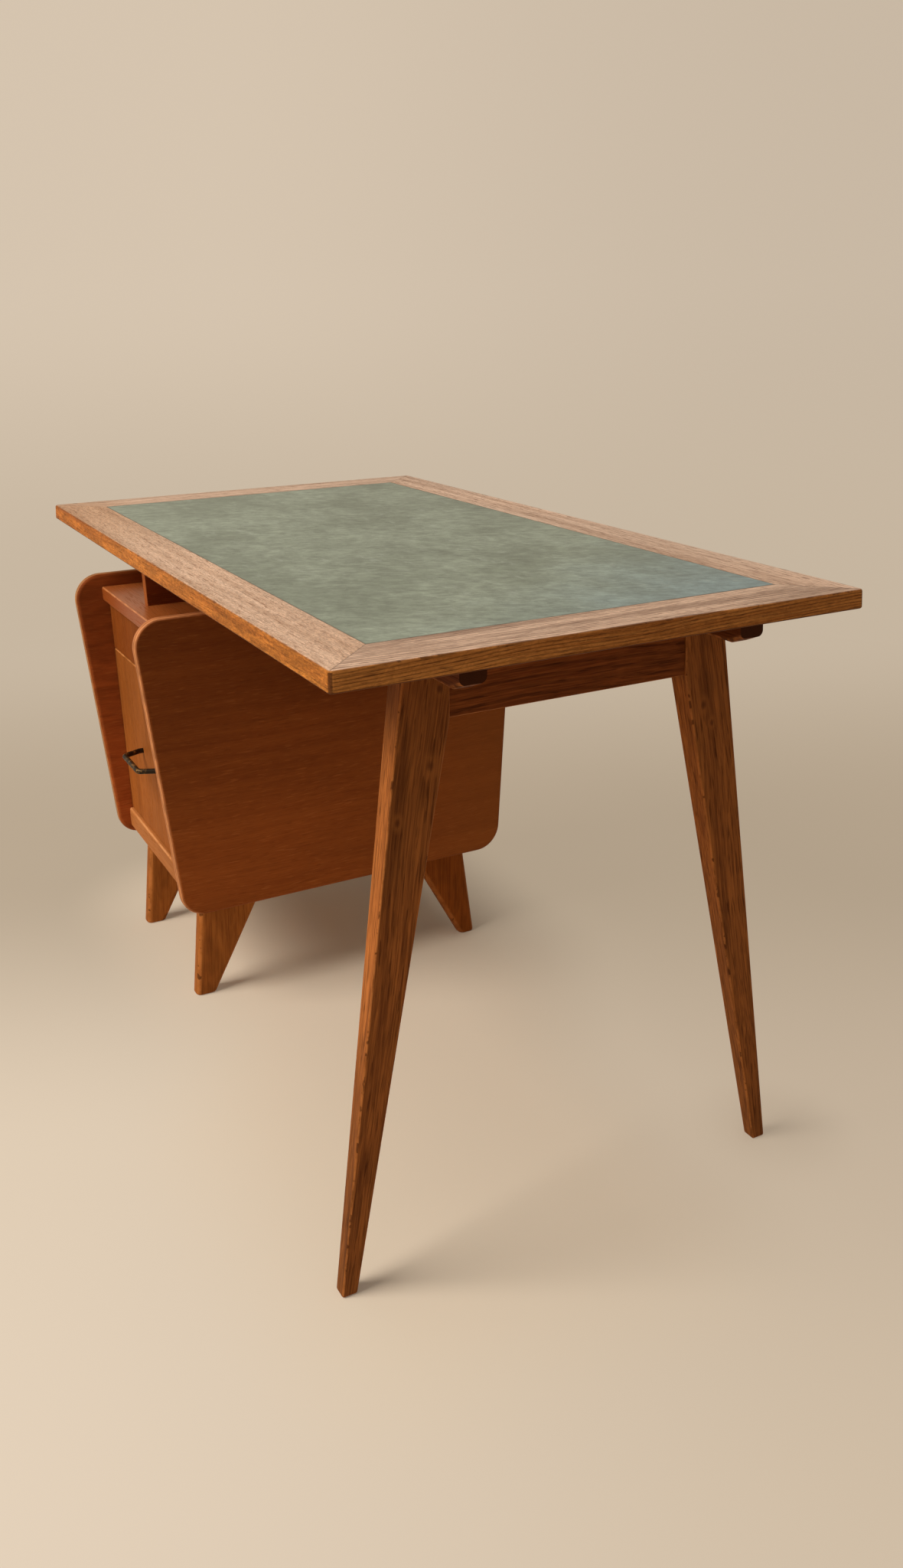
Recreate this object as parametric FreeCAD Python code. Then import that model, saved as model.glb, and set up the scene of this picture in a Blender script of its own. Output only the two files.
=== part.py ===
import FreeCAD, Part
import math
import os

# A single-pedestal writing desk: a framed, inlaid top lies on two long bearers, which rest on
# a splayed leg frame at one end and on a riser board over a two-drawer pedestal at the other.
# X runs along the desk, the sitter is on the -Y side and Z is up. The origin is on the floor
# under the middle of the top. All lengths are in millimetres.

# Desk top
desk_length = 1200.0
desk_depth = 695.0
desk_height = 745.0
top_thickness = 24.0
top_frame_width = 73.0
top_corner_radius = 6.0
top_edge_radius = 3.0
inlay_thickness = 2.5
inlay_gap = 0.4
core_tongue_depth = 9.0
core_tongue_thickness = 8.0
mitre_spline_length = 40.0
mitre_spline_width = 22.0
mitre_spline_thickness = 5.0
mitre_spline_place_share = 0.56

# Long bearers under the top
bearer_width = 33.0
bearer_height = 25.0
bearer_tip_height = 16.0
bearer_nose_length = 21.0
bearer_end_inset = 10.0
bearer_edge_radius = 7.0
bearer_leg_offset = 5.5
bearer_screw_bite = 14.0
bearer_screw_place_shares = (-0.40, -0.16, 0.12, 0.32)
bearer_dowel_diameter = 7.0
bearer_dowel_rise = 16.0
bearer_dowel_depth = 26.0
bearer_dowel_spacing = 19.0

# Splayed leg frame
leg_end_inset = 115.5
leg_top_thickness = 33.6
leg_foot_thickness = 18.4
leg_top_width = 55.8
leg_foot_width = 19.0
leg_top_inset = 130.2
leg_foot_inset = 44.7
leg_edge_radius = 3.0
leg_knee_radius = 30.0
leg_rail_height = 75.0
leg_rail_top_gap = 6.0
leg_rail_thickness = 26.0
leg_rail_edge_radius = 2.0
tenon_length = 22.0
tenon_thickness = 9.0
tenon_shoulder = 6.0

# Riser board between the pedestal and the top, notched over the bearers
riser_height = 115.5
riser_thickness = 17.0
riser_setback = 19.0
riser_edge_radius = 1.5
riser_screw_bite = 30.0
riser_screw_place_shares = (0.2, 0.5, 0.8)

# Pedestal side panels
pedestal_width = 384.0
pedestal_end_inset = 58.0
panel_thickness = 16.0
panel_rise = 23.0
panel_skirt = 16.5
panel_front_inset = 7.0
panel_front_slant = 69.5
panel_back_inset = 22.5
panel_back_slant = 36.5
panel_corner_radius = 42.0
panel_edge_radius = 6.0

# Pedestal boards
front_lean_share = 0.0715
front_inset = 70.1
shelf_board_thickness = 24.0
shelf_board_lip = 10.0
shelf_board_edge_radius = 3.0
divider_thickness = 12.0
bottom_board_thickness = 18.0
bottom_rail_height = 31.5
bottom_rail_thickness = 16.0
bottom_rail_proud = 6.0
bottom_rail_edge_radius = 4.0
back_panel_thickness = 10.0
back_panel_inset = 14.0
carcass_dowel_diameter = 6.0
carcass_dowel_panel_depth = 10.0
carcass_dowel_board_depth = 24.0
carcass_dowel_screw_gap = 1.5
carcass_dowel_place_shares = (0.15, 0.5, 0.85)

# Pedestal feet
foot_thickness = 25.0
foot_arris_radius = 9.0
foot_sole_radius = 3.0
front_foot_inset = 103.5
front_foot_side_inset = 24.0
front_foot_bottom_width = 33.5
front_foot_outer_slope_share = 0.066
front_foot_inner_slope_share = 0.534
back_foot_inset = 96.0
back_foot_side_inset = 5.0
back_foot_bottom_width = 27.5
back_foot_outer_slope_share = 0.1315
back_foot_inner_slope_share = 0.5725
foot_screw_bite = 30.0
foot_screw_place_shares = (0.2, 0.72)

# Drawers
upper_front_height = 84.0
lower_front_height = 293.0
front_thickness = 18.0
front_gap = 1.0
front_side_gap = 1.5
seam_gap = 2.0
front_edge_radius = 1.2
lower_front_bevel = 1.5
drawer_side_thickness = 12.0
drawer_back_thickness = 12.0
drawer_bottom_thickness = 5.0
drawer_bottom_rise = 7.0
drawer_groove_depth = 6.0
drawer_side_clearance = 0.8
drawer_slide_clearance = 0.3
drawer_back_gap = 18.0
upper_drawer_head_room = 12.0
lower_drawer_head_room = 22.0

# Bow handle on the lower drawer
handle_wire_diameter = 8.5
handle_foot_spacing = 108.0
handle_grip_length = 84.0
handle_reach = 35.0
handle_foot_length = 7.0
handle_bend_radius = 8.0
handle_place_share = 0.487
handle_screw_diameter = 3.6
handle_screw_bite = 6.0
handle_screw_head_diameter = 8.0
handle_screw_head_height = 2.4

# Countersunk wood screws, and how far a blank runs past the faces that trim it
screw_diameter = 4.0
screw_head_diameter = 8.0
screw_head_height = 3.0
overrun = 5.0

# Heights, from the top down
top_underside = desk_height - top_thickness
bearer_underside = top_underside - bearer_height
leg_rail_top = top_underside - leg_rail_top_gap
leg_rail_underside = leg_rail_top - leg_rail_height
shelf_top = top_underside - riser_height
shelf_underside = shelf_top - shelf_board_thickness
panel_top = shelf_top + panel_rise
upper_front_top = shelf_underside - front_gap
upper_front_bottom = upper_front_top - upper_front_height
lower_front_top = upper_front_bottom - seam_gap
lower_front_bottom = lower_front_top - lower_front_height
bottom_rail_top = lower_front_bottom - front_gap
bottom_rail_underside = bottom_rail_top - bottom_rail_height
bottom_board_underside = bottom_rail_top - bottom_board_thickness
panel_bottom = bottom_rail_underside - panel_skirt
divider_top = (upper_front_bottom + lower_front_top + divider_thickness) / 2
divider_underside = divider_top - divider_thickness

# Places along and across the desk
leg_centre_x = desk_length / 2 - leg_end_inset
bearer_half_length = desk_length / 2 - bearer_end_inset
leg_gap = desk_depth - 2 * (leg_top_inset + leg_top_width)
leg_foot_spread = desk_depth - 2 * leg_foot_inset
bearer_inner_y = leg_gap / 2 + bearer_leg_offset
bearer_centre_y = bearer_inner_y + bearer_width / 2
outer_panel_outside = pedestal_end_inset - desk_length / 2
inner_panel_outside = outer_panel_outside + pedestal_width
outer_panel_inside = outer_panel_outside + panel_thickness
inner_panel_inside = inner_panel_outside - panel_thickness
pedestal_centre_x = (outer_panel_outside + inner_panel_outside) / 2
panel_front_top = desk_depth / 2 - panel_front_inset
panel_front_bottom = panel_front_top - panel_front_slant
panel_back_top = desk_depth / 2 - panel_back_inset
panel_back_bottom = panel_back_top - panel_back_slant
front_reach = desk_depth / 2 - front_inset
front_foot_reach = desk_depth / 2 - front_foot_inset
back_foot_reach = desk_depth / 2 - back_foot_inset
handle_height = lower_front_bottom + handle_place_share * lower_front_height

# The floor's dowels end short of the heads of the foot screws
foot_screw_offset = min(front_foot_side_inset, back_foot_side_inset) + foot_thickness / 2
floor_dowel_depth = foot_screw_offset - screw_head_diameter / 2 - carcass_dowel_screw_gap

# Side, reach, bottom width, outer and inner slope, and inset from the side panel of the feet
front_foot = (
    -1,
    front_foot_reach,
    front_foot_bottom_width,
    front_foot_outer_slope_share,
    front_foot_inner_slope_share,
    front_foot_side_inset,
)
back_foot = (
    1,
    back_foot_reach,
    back_foot_bottom_width,
    back_foot_outer_slope_share,
    back_foot_inner_slope_share,
    back_foot_side_inset,
)


def front_face(z):
    """Y of the leaning plane of the drawer fronts at a height."""
    return front_lean_share * (shelf_underside - z) - front_reach


def front_inside(z):
    """Y of the inner side of the drawer fronts at a height."""
    return front_face(z) + front_thickness


def panel_back_edge(z):
    """Y of the side panels' rear edge at a height."""
    rise_share = (z - panel_bottom) / (panel_top - panel_bottom)
    return panel_back_bottom + (panel_back_top - panel_back_bottom) * rise_share


def back_outside(z):
    """Y of the back panel's outer face at a height."""
    return panel_back_edge(z) - back_panel_inset


def back_inside(z):
    """Y of the back panel's inner face at a height."""
    return back_outside(z) - back_panel_thickness


def block(x0, x1, y0, y1, z0, z1):
    """Box between two corners."""
    return Part.makeBox(x1 - x0, y1 - y0, z1 - z0, FreeCAD.Vector(x0, y0, z0))


def prism(points, along):
    """Solid with a flat outline of points, drawn out along a vector."""
    return Part.Face(Part.makePolygon(points + points[:1])).extrude(along)


def board(outline, x0, x1):
    """Board with an outline of (y, z) points, from x0 to x1."""
    return prism([FreeCAD.Vector(x0, y, z) for y, z in outline], FreeCAD.Vector(x1 - x0, 0, 0))


def slab(y_front, y_back, z0, z1, x0, x1):
    """Board between two leaning faces, each given as a function of height."""
    return board([(y_front(z0), z0), (y_back(z0), z0), (y_back(z1), z1), (y_front(z1), z1)], x0, x1)


def direction(edge):
    """Unit vector along an edge, from end to end."""
    return (edge.Vertexes[-1].Point - edge.Vertexes[0].Point).normalize()


def runs_along(edge, axis):
    """True for a straight edge that lies along an axis."""
    return len(edge.Vertexes) == 2 and abs(direction(edge).dot(axis)) > math.cos(math.radians(1))


def ease(shape, radius, picks):
    """Round the edges that a test picks."""
    return shape.makeFillet(radius, [edge for edge in shape.Edges if picks(edge)])


def mirror_y(shape):
    """The same piece on the other side of the desk's long middle plane."""
    return shape.mirror(FreeCAD.Vector(0, 0, 0), Y_AXIS)


def mirror_pedestal(shape):
    """The same piece on the other side of the pedestal's middle plane."""
    return shape.mirror(FreeCAD.Vector(pedestal_centre_x, 0, 0), X_AXIS)


def cylinder(diameter, start, along, length):
    """Round bar from a point."""
    return Part.makeCylinder(diameter / 2, length, start, along)


def wood_screw(start, along, length):
    """Countersunk screw whose head is flush at its starting point."""
    head = Part.makeCone(screw_head_diameter / 2, screw_diameter / 2, screw_head_height, start, along)
    return head.fuse(cylinder(screw_diameter, start, along, length)).removeSplitter()


def cut_all(shape, tools):
    """A piece with the places of its neighbours cut out of it."""
    for tool in tools:
        shape = shape.cut(tool)
    return shape


X_AXIS = FreeCAD.Vector(1, 0, 0)
Y_AXIS = FreeCAD.Vector(0, 1, 0)
Z_AXIS = FreeCAD.Vector(0, 0, 1)
parts = {}


def bearer_screws():
    """Screws up through the bearers into the top."""
    length = bearer_height + bearer_screw_bite
    places = [share * 2 * bearer_half_length for share in bearer_screw_place_shares]
    return [
        wood_screw(FreeCAD.Vector(x, side * bearer_centre_y, bearer_underside), Z_AXIS, length)
        for x in places
        for side in (-1, 1)
    ]


def bearer_dowels():
    """Dowels from the legs and the riser up into the bearers, two at each crossing."""
    length = bearer_dowel_rise + bearer_dowel_depth
    bottom = bearer_underside - bearer_dowel_depth
    half = bearer_dowel_spacing / 2
    spots = []
    for side in (-1, 1):
        y = side * bearer_centre_y
        spots += [(leg_centre_x - half, y), (leg_centre_x + half, y)]
        spots += [(pedestal_centre_x, y - half), (pedestal_centre_x, y + half)]
    return [cylinder(bearer_dowel_diameter, FreeCAD.Vector(x, y, bottom), Z_AXIS, length) for x, y in spots]


def top_core():
    """Plywood field of the top, with a tongue all round."""
    half_x = desk_length / 2 - top_frame_width
    half_y = desk_depth / 2 - top_frame_width
    core_top = desk_height - inlay_thickness
    field = block(-half_x, half_x, -half_y, half_y, top_underside, core_top)
    tongue_x = half_x + core_tongue_depth
    tongue_y = half_y + core_tongue_depth
    tongue_z = (top_underside + core_top - core_tongue_thickness) / 2
    tongue = block(-tongue_x, tongue_x, -tongue_y, tongue_y, tongue_z, tongue_z + core_tongue_thickness)
    return field.fuse(tongue).removeSplitter()


def top_inlay():
    """Thin writing surface, flush with the frame."""
    half_x = desk_length / 2 - top_frame_width - inlay_gap
    half_y = desk_depth / 2 - top_frame_width - inlay_gap
    return block(-half_x, half_x, -half_y, half_y, desk_height - inlay_thickness, desk_height)


def mitre_splines():
    """Loose tongues across the four mitres of the top frame."""
    half_length = mitre_spline_length / 2
    half_width = mitre_spline_width / 2
    half_thickness = mitre_spline_thickness / 2
    splines = []
    for x_side in (-1, 1):
        for y_side in (-1, 1):
            out = top_frame_width * (1 - mitre_spline_place_share)
            place = FreeCAD.Vector(
                x_side * (desk_length / 2 - out),
                y_side * (desk_depth / 2 - out),
                desk_height - top_thickness / 2,
            )
            spline = block(
                -half_length, half_length, -half_width, half_width, -half_thickness, half_thickness
            )
            spline.rotate(FreeCAD.Vector(0, 0, 0), Z_AXIS, x_side * y_side * 45)
            spline.translate(place)
            splines.append(spline)
    return splines


def top_frame(fixed):
    """Four mitred rails, cut from one eased slab so that their outer edges run on."""
    half_x = desk_length / 2
    half_y = desk_depth / 2
    whole = block(-half_x, half_x, -half_y, half_y, top_underside, desk_height)
    whole = ease(whole, top_corner_radius, lambda edge: runs_along(edge, Z_AXIS))
    whole = ease(whole, top_edge_radius, lambda edge: edge.BoundBox.ZLength < top_thickness / 2)
    inner_x = half_x - top_frame_width
    inner_y = half_y - top_frame_width
    outer = [(-half_x, -half_y), (half_x, -half_y), (half_x, half_y), (-half_x, half_y)]
    inner = [(-inner_x, -inner_y), (inner_x, -inner_y), (inner_x, inner_y), (-inner_x, inner_y)]
    for index, name in enumerate(("front", "right", "back", "left")):
        after = (index + 1) % len(outer)
        outline = [outer[index], outer[after], inner[after], inner[index]]
        points = [FreeCAD.Vector(x, y, top_underside) for x, y in outline]
        rail = whole.common(prism(points, FreeCAD.Vector(0, 0, top_thickness)))
        parts["top_rail_" + name] = cut_all(rail, fixed)


def bearer():
    """Rear bearer, with a bevelled nose at each end and rounded lower long edges."""
    tip_underside = top_underside - bearer_tip_height
    nose_start = bearer_half_length - bearer_nose_length
    outline = [
        (-nose_start, bearer_underside),
        (nose_start, bearer_underside),
        (bearer_half_length, tip_underside),
        (bearer_half_length, top_underside),
        (-bearer_half_length, top_underside),
        (-bearer_half_length, tip_underside),
    ]
    points = [FreeCAD.Vector(x, bearer_inner_y, z) for x, z in outline]
    blank = prism(points, FreeCAD.Vector(0, bearer_width, 0))

    def lower_long_edge(edge):
        box = edge.BoundBox
        return not runs_along(edge, Y_AXIS) and box.XLength > 0 and box.ZMin < tip_underside

    return ease(blank, bearer_edge_radius, lower_long_edge)


def leg_rail():
    """End rail between the legs, with a stub tenon at each end below the bearers."""
    half_gap = leg_gap / 2
    half_thick = leg_rail_thickness / 2
    x0 = leg_centre_x - half_thick
    x1 = leg_centre_x + half_thick
    rail = block(x0, x1, -half_gap, half_gap, leg_rail_underside, leg_rail_top)
    middle_z = (leg_rail_underside + leg_rail_top) / 2
    rail = ease(
        rail,
        leg_rail_edge_radius,
        lambda edge: runs_along(edge, Y_AXIS) and edge.BoundBox.ZMax < middle_z,
    )
    tenon = block(
        leg_centre_x - tenon_thickness / 2,
        leg_centre_x + tenon_thickness / 2,
        -half_gap - tenon_length,
        half_gap + tenon_length,
        leg_rail_underside + tenon_shoulder,
        bearer_underside - tenon_shoulder,
    )
    return rail.fuse(tenon).removeSplitter()


def leg():
    """Rear leg: splayed across the desk and thinner towards the foot on all four sides."""
    half_gap = leg_gap / 2
    half_spread = leg_foot_spread / 2
    side_view = board(
        [
            (half_spread, 0),
            (half_spread - leg_foot_width, 0),
            (half_gap, leg_rail_underside),
            (half_gap, top_underside),
            (half_gap + leg_top_width, top_underside),
        ],
        leg_centre_x - leg_top_thickness,
        leg_centre_x + leg_top_thickness,
    )
    half_foot = leg_foot_thickness / 2
    half_top = leg_top_thickness / 2
    end_view = prism(
        [
            FreeCAD.Vector(leg_centre_x - half_foot, 0, 0),
            FreeCAD.Vector(leg_centre_x + half_foot, 0, 0),
            FreeCAD.Vector(leg_centre_x + half_top, 0, top_underside),
            FreeCAD.Vector(leg_centre_x - half_top, 0, top_underside),
        ],
        FreeCAD.Vector(0, half_spread + overrun, 0),
    )

    def knee(edge):
        level = runs_along(edge, X_AXIS)
        return level and abs(edge.BoundBox.ZMin - leg_rail_underside) < leg_rail_height / 2

    def outer_arris(edge):
        box = edge.BoundBox
        across = runs_along(edge, X_AXIS) and box.ZMin > leg_edge_radius
        return box.ZMin < leg_rail_top and not across

    solid = ease(side_view, leg_knee_radius, knee).common(end_view)
    return ease(solid, leg_edge_radius, outer_arris)


def riser_front(z):
    """Y of the riser's front edge, which leans as the drawer fronts do."""
    return front_face(z) + riser_setback


def riser_back(z):
    """Y of the riser's rear edge."""
    return back_inside(z)


def riser_board():
    """Upright board along the middle of the pedestal, from its top to the desk top."""
    half = riser_thickness / 2
    x0 = pedestal_centre_x - half
    x1 = pedestal_centre_x + half
    blank = slab(riser_front, riser_back, shelf_top, top_underside, x0, x1)
    return ease(blank, riser_edge_radius, lambda edge: edge.BoundBox.ZLength > riser_height / 2)


def riser_screws():
    """Screws up through the pedestal's shelf board into the riser."""
    y0 = riser_front(shelf_top)
    depth = riser_back(shelf_top) - y0
    length = shelf_board_thickness + riser_screw_bite
    places = [y0 + share * depth for share in riser_screw_place_shares]
    return [
        wood_screw(FreeCAD.Vector(pedestal_centre_x, y, shelf_underside), Z_AXIS, length) for y in places
    ]


def side_panel():
    """Inner side panel: wider at the top, with large round corners and eased edges."""
    outline = [
        (-panel_front_bottom, panel_bottom),
        (panel_back_bottom, panel_bottom),
        (panel_back_top, panel_top),
        (-panel_front_top, panel_top),
    ]
    blank = board(outline, inner_panel_inside, inner_panel_outside)
    blank = ease(blank, panel_corner_radius, lambda edge: runs_along(edge, X_AXIS))
    return ease(blank, panel_edge_radius, lambda edge: edge.BoundBox.XLength < panel_thickness / 2)


def shelf_front(z):
    """Y of the shelf board's front edge, proud of the drawer fronts."""
    return front_face(z) - shelf_board_lip


def shelf_board():
    """Top of the pedestal, which is the floor of the open shelf under the desk top."""
    blank = slab(
        shelf_front, back_inside, shelf_underside, shelf_top, outer_panel_inside, inner_panel_inside
    )

    def front_edge(edge):
        return runs_along(edge, X_AXIS) and edge.BoundBox.YMax < 0

    return ease(blank, shelf_board_edge_radius, front_edge)


def divider_front(z):
    """Y of the divider's front edge, which stops the closed drawer fronts."""
    return front_inside(z) + drawer_slide_clearance


def drawer_divider():
    """Board between the drawers: floor of the upper one, ceiling of the lower one."""
    return slab(
        divider_front, back_inside, divider_underside, divider_top, outer_panel_inside, inner_panel_inside
    )


def rail_front(z):
    """Y of the bottom rail's front face."""
    return front_face(z) - bottom_rail_proud


def rail_back(z):
    """Y of the bottom rail's rear face."""
    return rail_front(z) + bottom_rail_thickness


def bottom_rail():
    """Rail along the foot of the pedestal's front, rounded on top."""
    blank = slab(
        rail_front,
        rail_back,
        bottom_rail_underside,
        bottom_rail_top,
        outer_panel_inside,
        inner_panel_inside,
    )
    middle_z = (bottom_rail_underside + bottom_rail_top) / 2

    def upper_front_edge(edge):
        box = edge.BoundBox
        upper = runs_along(edge, X_AXIS) and box.ZMin > middle_z
        return upper and box.YMax < rail_front(box.ZMax) + bottom_rail_thickness / 2

    return ease(blank, bottom_rail_edge_radius, upper_front_edge)


def bottom_board():
    """Floor of the pedestal, behind the bottom rail."""
    return slab(
        rail_back,
        back_inside,
        bottom_board_underside,
        bottom_rail_top,
        outer_panel_inside,
        inner_panel_inside,
    )


def pedestal_back():
    """Thin leaning board that closes the pedestal behind."""
    return slab(
        back_inside, back_outside, bottom_board_underside, shelf_top, outer_panel_inside, inner_panel_inside
    )


def carcass_dowels():
    """Dowels that join the three boards to the side panels."""
    x = outer_panel_inside - carcass_dowel_panel_depth
    levels = [
        (shelf_front, (shelf_underside + shelf_top) / 2, carcass_dowel_board_depth),
        (divider_front, (divider_underside + divider_top) / 2, carcass_dowel_board_depth),
        (rail_back, (bottom_board_underside + bottom_rail_top) / 2, floor_dowel_depth),
    ]
    dowels = []
    for y_front, z, board_depth in levels:
        length = carcass_dowel_panel_depth + board_depth
        for share in carcass_dowel_place_shares:
            y = y_front(z) + share * (back_inside(z) - y_front(z))
            dowel = cylinder(carcass_dowel_diameter, FreeCAD.Vector(x, y, z), X_AXIS, length)
            dowels += [dowel, mirror_pedestal(dowel)]
    return dowels


def foot(side, reach, bottom_width, outer_slope, inner_slope, side_inset):
    """Tapered, well rounded foot under the pedestal's inner end, at its front (-1) or back (1)."""
    x1 = inner_panel_inside - side_inset
    x0 = x1 - foot_thickness
    rise = bottom_board_underside
    inner_reach = reach - bottom_width
    blank = board(
        [
            (side * reach, 0),
            (side * inner_reach, 0),
            (side * (inner_reach - inner_slope * rise), rise),
            (side * (reach - outer_slope * rise), rise),
        ],
        x0,
        x1,
    )
    rounded = ease(blank, foot_arris_radius, lambda edge: edge.BoundBox.ZLength > rise / 2)
    return ease(rounded, foot_sole_radius, lambda edge: edge.BoundBox.ZMax < foot_sole_radius)


def foot_screws():
    """Screws down through the pedestal's floor into the feet, inside their narrowing outline."""
    length = bottom_board_thickness + foot_screw_bite
    tip_height = bottom_board_underside - foot_screw_bite
    down = FreeCAD.Vector(0, 0, -1)
    screws = []
    for side, reach, bottom_width, outer_slope, inner_slope, side_inset in (front_foot, back_foot):
        x = inner_panel_inside - side_inset - foot_thickness / 2
        outer_reach = reach - outer_slope * bottom_board_underside
        inner_reach = reach - bottom_width - inner_slope * tip_height
        for share in foot_screw_place_shares:
            y = side * (outer_reach - share * (outer_reach - inner_reach))
            screw = wood_screw(FreeCAD.Vector(x, y, bottom_rail_top), down, length)
            screws += [screw, mirror_pedestal(screw)]
    return screws


def drawer_front(z0, z1):
    """Leaning drawer front between the side panels."""
    x0 = outer_panel_inside + front_side_gap
    x1 = inner_panel_inside - front_side_gap
    return slab(front_face, front_inside, z0, z1, x0, x1)


def on_front_face(edge):
    """True for an edge that lies in the plane of the drawer fronts."""
    return all(abs(vertex.Y - front_face(vertex.Z)) < front_edge_radius / 2 for vertex in edge.Vertexes)


def drawer_box(name, z0, z1):
    """Sides, back and bottom of a drawer between two heights, from its front backwards."""
    rear = back_inside(z0) - drawer_back_gap
    x_out = outer_panel_inside + drawer_side_clearance
    x_in = inner_panel_inside - drawer_side_clearance
    bottom_z = z0 + drawer_bottom_rise
    bottom_top = bottom_z + drawer_bottom_thickness

    def rear_end(z):
        return rear

    def groove_end(z):
        return front_inside(z) - drawer_groove_depth

    bottom = slab(
        groove_end,
        rear_end,
        bottom_z,
        bottom_top,
        x_out + drawer_side_thickness - drawer_groove_depth,
        x_in - drawer_side_thickness + drawer_groove_depth,
    )
    side_outer = slab(front_inside, rear_end, z0, z1, x_out, x_out + drawer_side_thickness)
    side_inner = slab(front_inside, rear_end, z0, z1, x_in - drawer_side_thickness, x_in)
    parts[name + "_drawer_bottom"] = bottom
    parts[name + "_drawer_side_outer"] = side_outer.cut(bottom)
    parts[name + "_drawer_side_inner"] = side_inner.cut(bottom)
    parts[name + "_drawer_back"] = block(
        x_out + drawer_side_thickness,
        x_in - drawer_side_thickness,
        rear - drawer_back_thickness,
        rear,
        bottom_top,
        z1,
    )
    return bottom


def bent_path(points, radius):
    """Path of straight runs joined by tangent arcs."""
    edges = []
    start = points[0]
    for before, corner, after in zip(points, points[1:], points[2:]):
        into = (corner - before).normalize()
        out = (after - corner).normalize()
        half_turn = into.getAngle(out) / 2
        run = radius * math.tan(half_turn)
        inward = (out - into).normalize()
        arc_start = corner - into * run
        arc_middle = corner + inward * (radius / math.cos(half_turn) - radius)
        arc_end = corner + out * run
        edges.append(Part.LineSegment(start, arc_start).toShape())
        edges.append(Part.Arc(arc_start, arc_middle, arc_end).toShape())
        start = arc_end
    edges.append(Part.LineSegment(start, points[-1]).toShape())
    return Part.Wire(edges)


def bow_handle():
    """Bent wire handle whose two feet meet the drawer front squarely."""
    half_feet = handle_foot_spacing / 2
    half_grip = handle_grip_length / 2
    face = front_face(handle_height)
    outline = [
        (-half_feet, face + overrun),
        (-half_feet, face - handle_foot_length),
        (-half_grip, face - handle_reach),
        (half_grip, face - handle_reach),
        (half_feet, face - handle_foot_length),
        (half_feet, face + overrun),
    ]
    points = [FreeCAD.Vector(pedestal_centre_x + x, y, handle_height) for x, y in outline]
    circle = Part.Circle(points[0], Y_AXIS, handle_wire_diameter / 2)
    profile = Part.Wire([circle.toShape()])
    return bent_path(points, handle_bend_radius).makePipeShell([profile], True, False)


def handle_screws():
    """Round-head screws from inside the drawer into the feet of the handle."""
    start_y = front_inside(handle_height) - front_lean_share * handle_screw_head_diameter
    forward = FreeCAD.Vector(0, -1, 0)
    length = start_y - front_face(handle_height) + handle_screw_bite
    screws = []
    for side in (-1, 1):
        x = pedestal_centre_x + side * handle_foot_spacing / 2
        start = FreeCAD.Vector(x, start_y, handle_height)
        head = cylinder(handle_screw_head_diameter, start, Y_AXIS, handle_screw_head_height)
        shank = cylinder(handle_screw_diameter, start, forward, length)
        screws.append(head.fuse(shank).removeSplitter())
    return screws


def build_top():
    """Desk top, bearers and what fastens them."""
    screws = bearer_screws()
    splines = mitre_splines()
    core = top_core()
    top_frame(splines + [core] + screws)
    parts["mitre_splines"] = Part.makeCompound(splines)
    parts["top_core"] = cut_all(core, screws)
    parts["top_inlay"] = top_inlay()
    dowels = bearer_dowels()
    bearers = [bearer(), mirror_y(bearer())]
    parts["bearer_back"] = cut_all(bearers[0], screws + dowels)
    parts["bearer_front"] = cut_all(bearers[1], screws + dowels)
    parts["bearer_screws"] = Part.makeCompound(screws)
    parts["bearer_dowels"] = Part.makeCompound(dowels)
    return bearers + dowels


def build_leg_frame(bearers):
    """Two legs, slotted over the bearers, and the rail between them."""
    rail = leg_rail()
    parts["leg_rail"] = rail
    parts["leg_back"] = cut_all(leg(), [rail] + bearers)
    parts["leg_front"] = cut_all(mirror_y(leg()), [rail] + bearers)


def build_pedestal(bearers):
    """Carcass, riser and feet."""
    riser_fixings = riser_screws()
    parts["riser_board"] = cut_all(riser_board(), riser_fixings + bearers)
    parts["riser_screws"] = Part.makeCompound(riser_fixings)
    joints = carcass_dowels()
    panel = side_panel()
    parts["side_panel_inner"] = cut_all(panel, joints)
    parts["side_panel_outer"] = cut_all(mirror_pedestal(panel), joints)
    parts["shelf_board"] = cut_all(shelf_board(), joints + riser_fixings)
    parts["drawer_divider"] = cut_all(drawer_divider(), joints)
    parts["pedestal_back"] = pedestal_back()
    parts["bottom_rail"] = bottom_rail()
    parts["carcass_dowels"] = Part.makeCompound(joints)
    screws = foot_screws()
    parts["bottom_board"] = cut_all(bottom_board(), joints + screws)
    parts["foot_screws"] = Part.makeCompound(screws)
    for name, solid in (("front", foot(*front_foot)), ("back", foot(*back_foot))):
        parts["foot_" + name + "_inner"] = cut_all(solid, screws)
        parts["foot_" + name + "_outer"] = cut_all(mirror_pedestal(solid), screws)


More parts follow.
